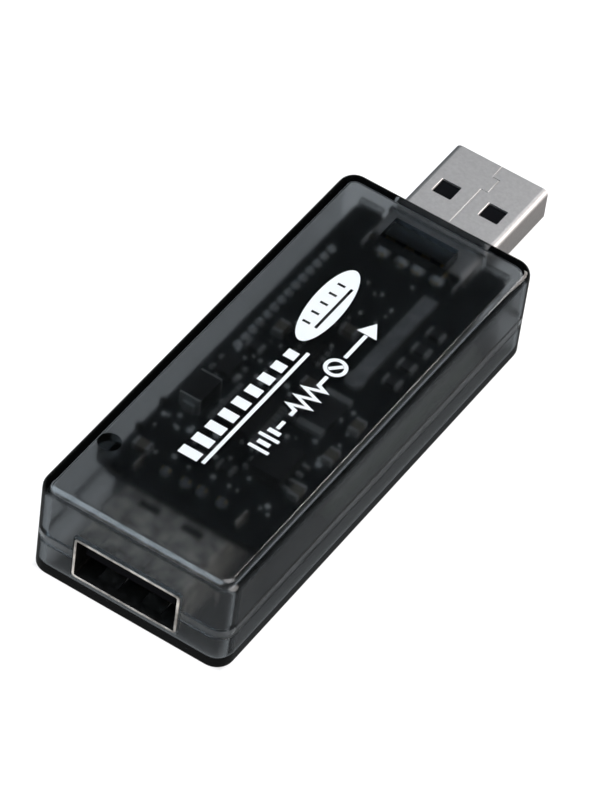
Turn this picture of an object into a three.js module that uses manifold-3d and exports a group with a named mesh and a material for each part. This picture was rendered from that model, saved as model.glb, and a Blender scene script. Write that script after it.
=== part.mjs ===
// USB power meter: a pass-through voltage, current and charge tester in a smoky two-piece housing.
// A type A socket is at one end, a type A plug at the other, and the board between them carries the
// current shunt, the measuring chips and, on its other side, a backlit display and its button.
//
// Millimetres. X runs across the housing, Y along it from the socket end to the plug end, and Z up from
// the display face, on which the meter lies, to the plain printed face. The origin is the centre of the
// whole meter in X and Y, plug included, at the level of the display face.

import * as THREE from 'three';
import { mergeVertices } from 'three/addons/utils/BufferGeometryUtils.js';
import Module from 'manifold-3d';

const wasm = await Module();
wasm.setup();

// ---------------------------------------------------------------- driving dimensions

const housing = {
  width: 24.4,
  length: 59.6,
  height: 12.9,
  cornerRadius: 2.1,
  wall: 1.1,
  roof: 1.1,
  floor: 1.2,
  roofEdge: 1.3,
  floorEdge: 0.5,
  partingHeight: 4.6,
  partingGap: 0.12,
};

const plug = {
  projection: 12.9,
  width: 12,
  height: 4.5,
  cornerRadius: 0.65,
  sheet: 0.32,
  centreHeight: 7.95,
  rear: 54.6,
};

const socket = {
  centreX: -0.3,
  centreHeight: 5.05,
  width: 13.1,
  height: 5.7,
  cornerRadius: 0.45,
  sheet: 0.3,
  depth: 13.8,
  contactRow: 12,
};

const board = {
  width: 19.6,
  nearEdge: 9,
  farEdge: 57.9,
  underside: 8,
  topside: 9.2,
  cornerRadius: 0.8,
};

const display = {
  centreX: 0.5,
  centreAlong: 38.7,
  glassWidth: 15.6,
  glassLength: 29.6,
  windowWidth: 13.6,
  windowLength: 27,
};

const button = {
  centreX: -6.6,
  along: 17.8,
  capRadius: 2,
  flangeRadius: 2.8,
  face: 0.25,
};

const contactOffsets = [-3.5, -1, 1, 3.5];
const contactWidth = 1;
const fitGap = 0.05;
const outlineSteps = 5;
const pinSides = 8;

const overallLength = housing.length + plug.projection;
const partingLow = housing.partingHeight - housing.partingGap / 2;
const partingHigh = housing.partingHeight + housing.partingGap / 2;
const cavityTop = housing.height - housing.roof;

// Places along the meter are given as distances from the socket end face.
const alongToY = (distance) => distance - overallLength / 2;
const housingMiddle = housing.length / 2;

// ---------------------------------------------------------------- solids from geometry

const weldDistance = 5e-4;

// Corners closer than the weld distance become one, and triangles that this closes up are dropped.
function weld(geometry) {
  const merged = mergeVertices(geometry, weldDistance);
  const corners = [];
  for (let first = 0; first < merged.index.count; first += 3) {
    const triangle = [0, 1, 2].map((step) => merged.index.getX(first + step));
    if (new Set(triangle).size === 3) corners.push(...triangle);
  }
  merged.setIndex(corners);
  return merged;
}

function solidOf(geometry) {
  const bare = geometry.clone();
  bare.deleteAttribute('normal');
  bare.deleteAttribute('uv');
  const welded = weld(bare);
  return new wasm.Manifold(new wasm.Mesh({
    numProp: 3,
    vertProperties: new Float32Array(welded.attributes.position.array),
    triVerts: new Uint32Array(welded.index.array),
  }));
}

function geometryOf(solid) {
  const mesh = solid.getMesh();
  const geometry = new THREE.BufferGeometry();
  geometry.setAttribute('position', new THREE.BufferAttribute(mesh.vertProperties, 3));
  geometry.setIndex(new THREE.BufferAttribute(mesh.triVerts, 1));
  const welded = weld(geometry);
  welded.computeVertexNormals();
  return welded;
}

const cut = (solid, ...tools) => tools.reduce((left, tool) => left.subtract(tool), solid);
const join = (solid, ...others) => others.reduce((whole, other) => whole.add(other), solid);
const around = (centre, width) => [centre - width / 2, centre + width / 2];

// A block between low and high values of x, of the distance along the meter, and of height.
function block(x, along, z) {
  const geometry = new THREE.BoxGeometry(x[1] - x[0], along[1] - along[0], z[1] - z[0]);
  geometry.translate((x[0] + x[1]) / 2, alongToY((along[0] + along[1]) / 2), (z[0] + z[1]) / 2);
  return solidOf(geometry);
}

// An upright round rod or a drill for a hole.
function rod(x, along, radius, z, sides = 20) {
  const geometry = new THREE.CylinderGeometry(radius, radius, z[1] - z[0], sides);
  geometry.rotateX(Math.PI / 2);
  geometry.translate(x, alongToY(along), (z[0] + z[1]) / 2);
  return solidOf(geometry);
}

function roundedOutline(PathClass, width, height, radius) {
  const x = width / 2 - radius;
  const y = height / 2 - radius;
  const outline = new PathClass();
  outline.absarc(x, y, radius, 0, Math.PI / 2);
  outline.absarc(-x, y, radius, Math.PI / 2, Math.PI);
  outline.absarc(-x, -y, radius, Math.PI, Math.PI * 1.5);
  outline.absarc(x, -y, radius, Math.PI * 1.5, Math.PI * 2);
  outline.closePath();
  return outline;
}

// An upright plate with rounded corners and, where edge is set, rounded upper and lower edges.
function slab({ x = 0, along, width, length, radius, z, edge = 0 }) {
  const geometry = new THREE.ExtrudeGeometry(roundedOutline(THREE.Shape, width, length, radius), {
    depth: z[1] - z[0] - 2 * edge,
    bevelEnabled: edge > 0,
    bevelThickness: edge,
    bevelSize: edge,
    bevelOffset: -edge,
    bevelSegments: 3,
    curveSegments: outlineSteps,
  });
  geometry.translate(x, alongToY(along), z[0] + edge);
  return solidOf(geometry);
}

// A rounded rectangular tube of sheet metal lying along the meter.
function sheetTube({ x, z, width, height, radius, sheet, along }) {
  const outline = roundedOutline(THREE.Shape, width, height, radius);
  const inner = Math.max(radius - sheet, 0.1);
  outline.holes.push(roundedOutline(THREE.Path, width - 2 * sheet, height - 2 * sheet, inner));
  const geometry = new THREE.ExtrudeGeometry(outline, {
    depth: along[1] - along[0],
    bevelEnabled: false,
    curveSegments: 4,
  });
  geometry.rotateX(Math.PI / 2);
  geometry.translate(x, alongToY(along[1]), z);
  return solidOf(geometry);
}

// A bent strip of sheet: its lower face follows the points (distance along, height), width runs in X.
function bentStrip(x, points, sheet) {
  const upper = points.map(([along, z]) => [along, z + sheet]).reverse();
  const corners = [...points, ...upper].map(([along, z]) => new THREE.Vector2(alongToY(along), z));
  const outline = new THREE.Shape(corners);
  const geometry = new THREE.ExtrudeGeometry(outline, { depth: x[1] - x[0], bevelEnabled: false });
  const lyingAlong = new THREE.Matrix4().makeBasis(
    new THREE.Vector3(0, 1, 0),
    new THREE.Vector3(0, 0, 1),
    new THREE.Vector3(1, 0, 0),
  );
  geometry.applyMatrix4(lyingAlong);
  geometry.translate(x[0], 0, 0);
  return solidOf(geometry);
}

// A turned piece about an upright axis, from a profile of (radius, height) that starts and ends on it.
function turned(x, along, profile, sides = 24) {
  const corners = profile.map(([radius, z]) => new THREE.Vector2(radius, z));
  const geometry = new THREE.LatheGeometry(corners, sides);
  geometry.rotateX(Math.PI / 2);
  geometry.translate(x, alongToY(along), 0);
  return solidOf(geometry);
}

// ---------------------------------------------------------------- the assembly

const finishes = {
  smoke: { color: 0x24272b, roughness: 0.2, transparent: true, opacity: 0.6 },
  clear: { color: 0x30363a, roughness: 0.08, transparent: true, opacity: 0.45 },
  nickel: { color: 0xa6a3a0, roughness: 0.35, metalness: 1 },
  gilt: { color: 0xc9a24a, roughness: 0.3, metalness: 1 },
  tin: { color: 0xb9bbbd, roughness: 0.35, metalness: 1 },
  blackPlastic: { color: 0x111213, roughness: 0.5 },
  chipPlastic: { color: 0x191a1b, roughness: 0.6 },
  whitePlastic: { color: 0xd9dad6, roughness: 0.6 },
  boardMask: { color: 0x0e1416, roughness: 0.4 },
  displayGlass: { color: 0x4c5a55, roughness: 0.1 },
  ceramicTan: { color: 0x8f7554, roughness: 0.5 },
  rubberGrey: { color: 0x2d2f31, roughness: 0.6 },
};

const meter = new THREE.Group();

function addPiece(name, solid, finish) {
  const mesh = new THREE.Mesh(geometryOf(solid), new THREE.MeshStandardMaterial(finishes[finish]));
  mesh.name = name;
  meter.add(mesh);
}

// ---------------------------------------------------------------- housing

const socketCutWidth = socket.width + 0.2;
const socketCutLow = socket.centreHeight - socket.height / 2 - 0.1;
const socketCutHigh = socket.centreHeight + socket.height / 2 + 0.1;
const plugCutWidth = plug.width + 0.2;
const plugCutLow = plug.centreHeight - plug.height / 2 - 0.1;
const plugCutHigh = plug.centreHeight + plug.height / 2 + 0.1;
const farWall = [housing.length - housing.wall, housing.length];
const lipInset = 0.6;
const rebateInset = 0.5;
const lipHeight = 0.9;
const snapAlong = [14, 44];
const snapLength = 6;
const snapHeight = partingHigh + 0.55;

// A post moulded inside the back shell near the socket, and a pad over the plug, both reaching down to
// what they steady.
const post = { x: -9.65, along: 9.8, radius: 1.3 };
const pad = { width: 8, nearEdge: 53, farEdge: 56.4 };

// Ribs on the far wall, on both sides of the plug, hold the far edge of the board down.
const rib = { outer: 9.6, inner: 6.6, depth: 0.7, height: 0.5 };

const housingSlab = (inset, z, edge) => slab({
  along: housingMiddle,
  width: housing.width - 2 * inset,
  length: housing.length - 2 * inset,
  radius: Math.max(housing.cornerRadius - inset, 0.6),
  z,
  edge,
});

// Long snap beads on the lip, and the grooves that hold them, differ only in how deep and tall they are.
function snapBars(inset, length, z) {
  return [-1, 1].flatMap((side) => snapAlong.map((along) => {
    const outer = side * (housing.width / 2 - inset);
    const inner = side * (housing.width / 2 - lipInset - 0.2);
    return block([Math.min(outer, inner), Math.max(outer, inner)], around(along, length), z);
  }));
}

function backShell() {
  const below = housing.partingHeight - 3;
  const outer = housingSlab(0, [below, housing.height], housing.roofEdge);
  const cavity = housingSlab(housing.wall, [below - 2, cavityTop], 0.4);
  const belowParting = block([-20, 20], [-5, 70], [below - 3, partingHigh]);
  const rebate = housingSlab(rebateInset, [below, partingHigh + lipHeight + 0.1], 0);
  const socketCut = block(around(socket.centreX, socketCutWidth), [-1, 3], [below, socketCutHigh]);
  const plugCut = block(around(0, plugCutWidth), [farWall[0] - 1, farWall[1] + 1], [below, plugCutHigh]);
  const ribSpan = [farWall[0] - rib.depth, farWall[0] + 0.4];
  const ribHeight = [board.topside + 0.1, board.topside + 0.1 + rib.height];
  const ribs = [[-rib.outer, -rib.inner], [rib.inner, rib.outer]].map((x) => block(x, ribSpan, ribHeight));
  const padSpan = [pad.nearEdge, pad.farEdge];
  const plugPad = block(around(0, pad.width), padSpan, [plugCutHigh, cavityTop + 0.3]);
  const boardPost = rod(post.x, post.along, post.radius, [board.topside + 0.2, cavityTop + 0.3]);
  const grooves = snapBars(0.3, snapLength + 0.6, around(snapHeight, 0.4));
  const hollow = cut(outer, cavity, belowParting, rebate, ...grooves);
  return cut(join(hollow, plugPad, boardPost, ...ribs), socketCut, plugCut);
}

function frontShell() {
  const above = housing.partingHeight + 3;
  const outer = housingSlab(0, [0, above], housing.floorEdge);
  const cavity = housingSlab(housing.wall, [housing.floor, above + 2], 0.4);
  const aboveParting = block([-20, 20], [-5, 70], [partingLow, above + 1]);
  const lip = cut(
    housingSlab(lipInset, [housing.floor, partingLow + lipHeight], 0),
    housingSlab(housing.wall, [0, above], 0),
  );
  const boardPosts = [[-8.7, 11.6], [8.7, 11.6], [-8.2, 55.4], [8.2, 55.4]]
    .map(([x, along]) => rod(x, along, 1, [housing.floor - 0.3, board.underside - fitGap], 16));
  const sillSpan = around(0, plugCutWidth - 0.3);
  const sillTop = plugCutLow - 0.1;
  const plugSill = block(sillSpan, [farWall[0] - 0.2, farWall[1]], [2, sillTop]);
  const socketCut = block(around(socket.centreX, socketCutWidth), [-1, 3], [socketCutLow, above]);
  const windowOpening = slab({
    x: display.centreX,
    along: display.centreAlong,
    width: display.windowWidth,
    length: display.windowLength,
    radius: 0.8,
    z: [-1, 2],
  });
  const windowPocket = slab({
    x: display.centreX,
    along: display.centreAlong,
    width: display.windowWidth + 2.2,
    length: display.windowLength + 2.2,
    radius: 1.2,
    z: [-1, 0.8],
  });
  const buttonHole = rod(button.centreX, button.along, button.capRadius + 0.3, [-1, 2], 24);
  const beads = snapBars(0.42, snapLength, around(snapHeight, 0.24));
  const whole = join(cut(outer, cavity, aboveParting), lip, plugSill, ...beads, ...boardPosts);
  return cut(whole, socketCut, windowOpening, windowPocket, buttonHole);
}

addPiece('back_shell', backShell(), 'smoke');
addPiece('front_shell', frontShell(), 'smoke');
addPiece('display_window', slab({
  x: display.centreX,
  along: display.centreAlong,
  width: display.windowWidth + 2,
  length: display.windowLength + 2,
  radius: 1.1,
  z: [0.05, 0.75],
}), 'clear');

// ---------------------------------------------------------------- memory button and its switch

const switchFace = 4.5;
const switchWidth = 6;
const plungerRadius = 1.7;

addPiece('memory_button', turned(button.centreX, button.along, [
  [0, button.face],
  [button.capRadius - 0.3, button.face],
  [button.capRadius, button.face + 0.3],
  [button.capRadius, housing.floor + 0.1],
  [button.flangeRadius, housing.floor + 0.1],
  [button.flangeRadius, housing.floor + 0.9],
  [1.5, housing.floor + 0.9],
  [1.5, 2.9],
  [0, 2.9],
]), 'rubberGrey');

addPiece('switch_plunger', rod(button.centreX, button.along, plungerRadius, [2.95, 5.3]), 'blackPlastic');

function switchBody() {
  const height = [switchFace, board.underside - fitGap];
  const body = block(around(button.centreX, switchWidth), around(button.along, switchWidth), height);
  const bore = rod(button.centreX, button.along, plungerRadius + 0.2, [switchFace - 1, 5.9]);
  const legs = [-1, 1].flatMap((sideX) => [-1, 1].map((sideY) => {
    const x = around(button.centreX + sideX * 3.1, 0.6);
    return block(x, around(button.along + sideY * 2.25, 0.6), [6, board.topside + 0.5]);
  }));
  return cut(join(body, ...legs), bore);
}
addPiece('switch_body', switchBody(), 'blackPlastic');

// ---------------------------------------------------------------- main board

const pinRow = { x: -8.1, first: 31.9, pitch: 1.4, count: 14 };
const pinPlaces = Array.from({ length: pinRow.count }, (_, index) => pinRow.first + index * pinRow.pitch);
const socketLegX = socket.width / 2 - socket.sheet / 2;
const socketLegAlong = [10.3, 12.3];
const boardSpan = [board.underside - 1, board.topside + 1];

function mainBoard() {
  const plate = slab({
    along: (board.nearEdge + board.farEdge) / 2,
    width: board.width,
    length: board.farEdge - board.nearEdge,
    radius: board.cornerRadius,
    z: [board.underside, board.topside],
  });
  const plugNotch = block(around(0, plug.width + 0.6), [plug.rear - 0.3, board.farEdge + 1], boardSpan);
  const contactHoles = contactOffsets
    .map((offset) => rod(socket.centreX + offset, socket.contactRow, 0.75, boardSpan, pinSides));
  const legSlots = [-1, 1].map((side) => block(
    around(socket.centreX + side * socketLegX, 0.7),
    [socketLegAlong[0] - 0.2, socketLegAlong[1] + 0.2],
    boardSpan,
  ));
  const pinHoles = pinPlaces.map((along) => rod(pinRow.x, along, 0.4, boardSpan, pinSides));
  const switchHoles = [-1, 1].flatMap((sideX) => [-1, 1].map((sideY) => (
    rod(button.centreX + sideX * 3.1, button.along + sideY * 2.25, 0.55, boardSpan, pinSides)
  )));
  return cut(plate, plugNotch, ...contactHoles, ...legSlots, ...pinHoles, ...switchHoles);
}
addPiece('main_board', mainBoard(), 'boardMask');

// ---------------------------------------------------------------- plug

const plugTip = overallLength;
const plugTop = plug.centreHeight + plug.height / 2;
const plugBottom = plug.centreHeight - plug.height / 2;
const plugContactLevel = [plug.centreHeight - 0.25, plug.centreHeight + 0.05];
const plugTongue = [plugContactLevel[1] + fitGap, plugTop - plug.sheet - 0.08];
const plugContactFoot = board.topside + fitGap;

// The folded seam on the upper face: straight from the tip, round a small dovetail, then straight back.
function plugSeam() {
  const depth = [plugTop - 0.16, plugTop + 1];
  const width = 0.12;
  const runs = [
    [around(0, width), [plugTip - 2.1, plugTip + 1]],
    [[-width / 2, 0.9 + width / 2], around(plugTip - 2.1, width)],
    [around(0.9, width), [plugTip - 4.5, plugTip - 2.1]],
    [[-width / 2, 0.9 + width / 2], around(plugTip - 4.5, width)],
    [around(0, width), [plug.rear - 1, plugTip - 4.5]],
  ];
  return runs.map(([x, along]) => block(x, along, depth));
}

function plugShell() {
  const tube = sheetTube({
    x: 0,
    z: plug.centreHeight,
    width: plug.width,
    height: plug.height,
    radius: plug.cornerRadius,
    sheet: plug.sheet,
    along: [plug.rear, plugTip],
  });
  const windows = [-1, 1].map((side) => (
    block(around(side * 3.02, 2.3), around(plugTip - 6.93, 2.27), [plugBottom - 1, plugTop + 1])
  ));
  const tabHeight = [board.topside + 0.1, board.topside + 0.65];
  const solderTabs = [-1, 1].map((side) => (
    block(around(side * (plug.width / 2 - 0.16), 0.24), [plug.rear - 1.9, plug.rear + 0.3], tabHeight)
  ));
  return join(cut(tube, ...plugSeam(), ...windows), ...solderTabs);
}
addPiece('plug_shell', plugShell(), 'nickel');

function plugInsulator() {
  const tongue = block(around(0, 11.1), [plug.rear + 0.7, plugTip - 0.5], plugTongue);
  const rearBlock = block(
    around(0, 11.1),
    [plug.rear + 0.7, plug.rear + 4.5],
    [plugBottom + plug.sheet + 0.08, plugTongue[1]],
  );
  const channels = contactOffsets.map((offset) => block(
    around(offset, contactWidth + 2 * fitGap),
    [plug.rear, plugTip],
    [plugContactLevel[0] - fitGap, plugTongue[0]],
  ));
  return cut(join(tongue, rearBlock), ...channels);
}
addPiece('plug_insulator', plugInsulator(), 'blackPlastic');

// The outer pair, power and ground, reach further towards the tip than the data pair.
function plugContact(offset) {
  const x = around(offset, contactWidth);
  const reach = Math.abs(offset) > 2 ? plugTip - 1.2 : plugTip - 2.2;
  const blade = block(x, [plug.rear, reach], plugContactLevel);
  const riser = block(x, [plug.rear, plug.rear + 0.3], [plugContactLevel[0], plugContactFoot + 0.3]);
  const foot = block(x, [plug.rear - 2, plug.rear + 0.3], [plugContactFoot, plugContactFoot + 0.3]);
  return join(blade, riser, foot);
}
contactOffsets.forEach((offset, index) => {
  addPiece(`plug_contact_${index + 1}`, plugContact(offset), 'gilt');
});

// ---------------------------------------------------------------- socket

const socketTop = socket.centreHeight + socket.height / 2;
const socketBottom = socket.centreHeight - socket.height / 2;
const socketTongue = [5.2, 7.04];
const socketContactLevel = [socketTongue[0] - 0.3 - fitGap, socketTongue[0] - fitGap];
const springOffset = 2.7;
const springSheet = 0.28;

// Each finger is held at the mouth, bows into the opening, and its free end turns back out.
const springLine = (level, bow) => [
  [1, level],
  [2.2, level + bow * 0.15],
  [4.6, level + bow],
  [5.6, level + bow],
  [7.4, level + bow * 0.15],
];

function socketShell() {
  const tube = sheetTube({
    x: socket.centreX,
    z: socket.centreHeight,
    width: socket.width,
    height: socket.height,
    radius: socket.cornerRadius,
    sheet: socket.sheet,
    along: [0, socket.depth],
  });
  const topSheet = [socketTop - 1, socketTop + 1];
  const rearCut = block(around(socket.centreX, 9.6), [10.4, socket.depth + 1], topSheet);
  const springWindows = [-1, 1].map((side) => (
    block(around(socket.centreX + side * springOffset, 2.6), [1.2, 8.4], [socketBottom - 1, socketTop + 1])
  ));
  const legHeight = [socket.centreHeight, board.topside + 0.7];
  const legs = [-1, 1].map((side) => (
    block(around(socket.centreX + side * socketLegX, socket.sheet - 0.06), socketLegAlong, legHeight)
  ));
  const fingers = [-1, 1].flatMap((side) => {
    const x = around(socket.centreX + side * springOffset, 1.9);
    return [
      bentStrip(x, springLine(socketBottom, 0.75), springSheet),
      bentStrip(x, springLine(socketTop - springSheet, -0.2), springSheet),
    ];
  });
  return join(cut(tube, rearCut, ...springWindows), ...fingers, ...legs);
}
addPiece('socket_shell', socketShell(), 'nickel');

function socketInsulator() {
  const inner = [socketBottom + socket.sheet + 0.08, socketTop - socket.sheet - 0.08];
  const tongue = block(around(socket.centreX, 11.1), [1, 10], socketTongue);
  const rearBlock = block(around(socket.centreX, 12.2), [9.4, socket.depth - 0.2], inner);
  const channels = contactOffsets.flatMap((offset) => {
    const x = around(socket.centreX + offset, contactWidth + 2 * fitGap);
    return [
      block(x, [1, socket.contactRow + 0.3], [socketContactLevel[0] - fitGap, socketTongue[0]]),
      block(x, around(socket.contactRow, 0.5), [socketContactLevel[0] - fitGap, socketTop]),
    ];
  });
  return cut(join(tongue, rearBlock), ...channels);
}
addPiece('socket_insulator', socketInsulator(), 'blackPlastic');

function socketContact(offset) {
  const x = around(socket.centreX + offset, contactWidth);
  const blade = block(x, [2, socket.contactRow + 0.2], socketContactLevel);
  const pin = block(x, around(socket.contactRow, 0.4), [socketContactLevel[0], board.topside + 0.6]);
  return join(blade, pin);
}
contactOffsets.forEach((offset, index) => {
  addPiece(`socket_contact_${index + 1}`, socketContact(offset), 'gilt');
});

// ---------------------------------------------------------------- display

const glassLevel = [1.4, 3.2];
const glassEdge = display.centreX - display.glassWidth / 2;

addPiece('lcd_panel', slab({
  x: display.centreX,
  along: display.centreAlong,
  width: display.glassWidth,
  length: display.glassLength,
  radius: 0.3,
  z: glassLevel,
}), 'displayGlass');

addPiece('lcd_backlight', slab({
  x: display.centreX,
  along: display.centreAlong,
  width: display.glassWidth - 0.6,
  length: display.glassLength - 1,
  radius: 0.6,
  z: [glassLevel[1] + fitGap, board.underside - fitGap],
}), 'whitePlastic');

function lcdPinStrip() {
  const pinWidth = 0.4;
  const last = pinPlaces[pinPlaces.length - 1];
  const strip = block([pinRow.x - 0.45, pinRow.x + 0.45], [pinRow.first - 0.6, last + 0.6], [5.2, 6.4]);
  const armLevel = [glassLevel[0] + 0.7, glassLevel[0] + 1];
  const pins = pinPlaces.flatMap((along) => [
    block(around(pinRow.x, pinWidth), around(along, pinWidth), [armLevel[0] - 0.1, board.topside + 0.6]),
    block([pinRow.x, glassEdge - fitGap], around(along, pinWidth - 0.06), armLevel),
  ]);
  return join(strip, ...pins);
}
addPiece('lcd_pin_strip', lcdPinStrip(), 'tin');

// ---------------------------------------------------------------- parts on the board

const seat = board.topside + fitGap;

// A chip package with rows of legs along its two long sides, lying along the meter.
function leadedChip({ x, along, width, length, height, legs, pitch, legWidth }) {
  const body = block(around(x, width), around(along, length), [seat + 0.12, seat + height]);
  const leads = [-1, 1].flatMap((side) => Array.from({ length: legs }, (_, index) => {
    const place = along + (index - (legs - 1) / 2) * pitch;
    const toe = x + side * (width / 2 + 0.9);
    const heel = x + side * (width / 2 - 0.3);
    return block([Math.min(toe, heel), Math.max(toe, heel)], around(place, legWidth), [seat, seat + 0.35]);
  }));
  return join(body, ...leads);
}

addPiece('controller_chip', leadedChip({
  x: -1.6, along: 24, width: 4.4, length: 6.5, height: 1.1, legs: 10, pitch: 0.65, legWidth: 0.3,
}), 'chipPlastic');
addPiece('current_amplifier', leadedChip({
  x: 4.9, along: 19.6, width: 3.9, length: 4.9, height: 1.6, legs: 4, pitch: 1.27, legWidth: 0.42,
}), 'chipPlastic');
addPiece('memory_chip', leadedChip({
  x: -1.2, along: 35.6, width: 1.6, length: 2.9, height: 1.1, legs: 3, pitch: 0.95, legWidth: 0.4,
}), 'chipPlastic');
addPiece('voltage_regulator', leadedChip({
  x: -6.9, along: 28.2, width: 1.7, length: 2.9, height: 1.1, legs: 2, pitch: 1.9, legWidth: 0.45,
}), 'chipPlastic');

// A body with a wrapped metal strap at each end, as on a power diode.
function strappedBody(x, along, width, length, height) {
  const body = block(around(x, width), around(along, length), [seat + 0.1, seat + height]);
  const straps = [-1, 1].map((side) => (
    block(around(x, width * 0.55), around(along + side * (length / 2), 0.7), [seat, seat + height * 0.6])
  ));
  return join(body, ...straps);
}
addPiece('protection_diode', strappedBody(-6.9, 22.8, 2.6, 4.2, 2.1), 'chipPlastic');

const shunt = { x: 4.7, along: [25.9, 32.2], width: 3.2 };
const shuntSolid = block(around(shunt.x, shunt.width), shunt.along, [seat, seat + 0.65]);
addPiece('shunt_resistor', shuntSolid, 'chipPlastic');

// A tinned bar carries the supply from the plug's power contact down the board to the shunt.
function supplyBusBar() {
  const straight = block(around(shunt.x, 1.8), [34.9, 50.2], [seat, seat + 0.5]);
  const endPad = rod(shunt.x, 35.1, 1.15, [seat, seat + 0.5]);
  return join(straight, endPad);
}
addPiece('supply_bus_bar', supplyBusBar(), 'tin');

// The timing crystal's can lies on the board with its two leads towards the socket.
const crystal = { x: -2.9, along: 41, length: 6, radius: 1 };

function timingCrystal() {
  const can = new THREE.CylinderGeometry(crystal.radius, crystal.radius, crystal.length, 16);
  can.translate(crystal.x, alongToY(crystal.along), seat + crystal.radius + 0.05);
  const nearEnd = crystal.along - crystal.length / 2;
  const leads = [-0.35, 0.35].map((offset) => (
    block(around(crystal.x + offset, 0.3), [nearEnd - 1.1, nearEnd + 0.3], [seat + 0.9, seat + 1.2])
  ));
  return join(solidOf(can), ...leads);
}
addPiece('timing_crystal', timingCrystal(), 'tin');

// Small two-ended chip parts: their long side runs along the meter, or across it where turned.
const chipSize = { length: 2, width: 1.25 };
function addChips(name, finish, height, places) {
  places.forEach(({ x, along, across = false }, index) => {
    const spanX = around(x, across ? chipSize.length : chipSize.width);
    const spanAlong = around(along, across ? chipSize.width : chipSize.length);
    addPiece(`${name}_${index + 1}`, block(spanX, spanAlong, [seat, seat + height]), finish);
  });
}

const dividerColumn = [0, 1, 2, 3].map((index) => ({ x: 7.9, along: 37.4 + index * 2.9, across: true }));
addChips('resistor', 'chipPlastic', 0.5, [
  ...dividerColumn,
  { x: 0.9, along: 16.2, across: true },
  { x: -2.2, along: 16.8 },
  { x: 2.1, along: 27.2 },
  { x: -6.4, along: 32.6, across: true },
]);
addChips('capacitor', 'ceramicTan', 0.85, [
  { x: -7.6, along: 13.2, across: true },
  { x: 8.6, along: 17.8 },
  { x: 8.7, along: 24.2 },
  { x: 1.4, along: 31.4, across: true },
  { x: 8.6, along: 29.4 },
  { x: -5.6, along: 36.4 },
  { x: 0.4, along: 40.6, across: true },
]);

export default meter;
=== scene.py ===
"""USB power meter: the looks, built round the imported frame.

Everything is in metres, in the frame of the CAD model: X across the meter, Y from its socket end to its
plug end, Z from the display face that it lies on up to the printed face. Places come from the boxes of the
CAD nodes, and the sizes that a box doesn't give are written here in millimetres.
"""

import math
import random

import bmesh
import bpy
from mathutils import Matrix, Vector


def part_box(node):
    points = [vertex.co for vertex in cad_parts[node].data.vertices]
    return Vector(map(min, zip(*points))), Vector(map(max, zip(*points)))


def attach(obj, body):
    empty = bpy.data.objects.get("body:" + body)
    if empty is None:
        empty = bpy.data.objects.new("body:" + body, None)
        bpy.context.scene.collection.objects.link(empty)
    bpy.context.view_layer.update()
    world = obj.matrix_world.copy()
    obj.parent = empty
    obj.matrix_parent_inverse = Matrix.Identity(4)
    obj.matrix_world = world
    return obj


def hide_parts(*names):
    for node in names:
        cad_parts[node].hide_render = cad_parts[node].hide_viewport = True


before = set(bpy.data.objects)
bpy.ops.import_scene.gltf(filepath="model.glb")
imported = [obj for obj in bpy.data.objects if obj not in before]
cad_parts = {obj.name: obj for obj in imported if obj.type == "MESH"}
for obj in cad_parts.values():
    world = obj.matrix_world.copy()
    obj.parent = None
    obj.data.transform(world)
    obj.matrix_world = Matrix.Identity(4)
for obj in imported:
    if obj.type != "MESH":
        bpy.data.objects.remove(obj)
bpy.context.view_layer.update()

METER = "meter_body"
BUTTON = "button_group"
MM = 0.001


def mm(*values):
    """Millimetres to metres, as one number or as a vector."""
    if len(values) == 1:
        return values[0] * MM
    return Vector([value * MM for value in values])


def middle_and_half(low, high):
    """The middle of a span, and half of its length."""
    return (low + high) / 2, (high - low) / 2


# -------------------------------- places taken from the frame

BACK_LOW, BACK_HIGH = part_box("back_shell")
FRONT_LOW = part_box("front_shell")[0]
PLUG_LOW, PLUG_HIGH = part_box("plug_shell")
SOCKET_LOW, SOCKET_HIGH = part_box("socket_shell")
BOARD_LOW, BOARD_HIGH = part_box("main_board")
WINDOW_LOW, WINDOW_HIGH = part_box("display_window")
GLASS_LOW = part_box("lcd_panel")[0]
CAP_LOW, CAP_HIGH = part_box("memory_button")

HALF_WIDTH = (BACK_HIGH.x - BACK_LOW.x) / 2
NEAR_END = BACK_LOW.y
FAR_END = BACK_HIGH.y
MIDDLE_Y, HALF_LENGTH = middle_and_half(NEAR_END, FAR_END)
WINDOW_X, WINDOW_HALF_X = middle_and_half(WINDOW_LOW.x, WINDOW_HIGH.x)
WINDOW_Y, WINDOW_HALF_Y = middle_and_half(WINDOW_LOW.y, WINDOW_HIGH.y)
SOCKET_X, SOCKET_HALF_X = middle_and_half(SOCKET_LOW.x, SOCKET_HIGH.x)
BUTTON_X = (CAP_LOW.x + CAP_HIGH.x) / 2
BUTTON_Y = (CAP_LOW.y + CAP_HIGH.y) / 2
ROOF = BACK_HIGH.z
RIM = BACK_LOW.z
BOARD_TOP = BOARD_HIGH.z

CORNER = mm(2.1)
WALL = mm(1.1)
ROOF_THICKNESS = mm(1.1)
FLOOR_THICKNESS = mm(0.9)
ROOF_EDGE = mm(1.3)
FLOOR_EDGE = mm(0.5)
PARTING_GAP = mm(0.05)
INNER_FILLET = mm(0.4)
CEILING = ROOF - ROOF_THICKNESS

CLEARANCE = mm(0.1)
CUT_PAST = mm(1)

PLUG_SHEET = mm(0.32)
PLUG_HEIGHT = mm(4.5)
SOCKET_SHEET = mm(0.3)
SOCKET_HEIGHT = mm(5.7)
SOCKET_TOP = SOCKET_LOW.z + SOCKET_HEIGHT

# The material slots of a piece's outer and inner faces, where it has two. On the socket the inner slot holds
# a painted shade.
OUTSIDE = 0
INSIDE = 1


def along(distance):
    """Y of a place given by its distance in millimetres from the socket end face."""
    return NEAR_END + mm(distance)


# -------------------------------- mesh helpers

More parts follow.
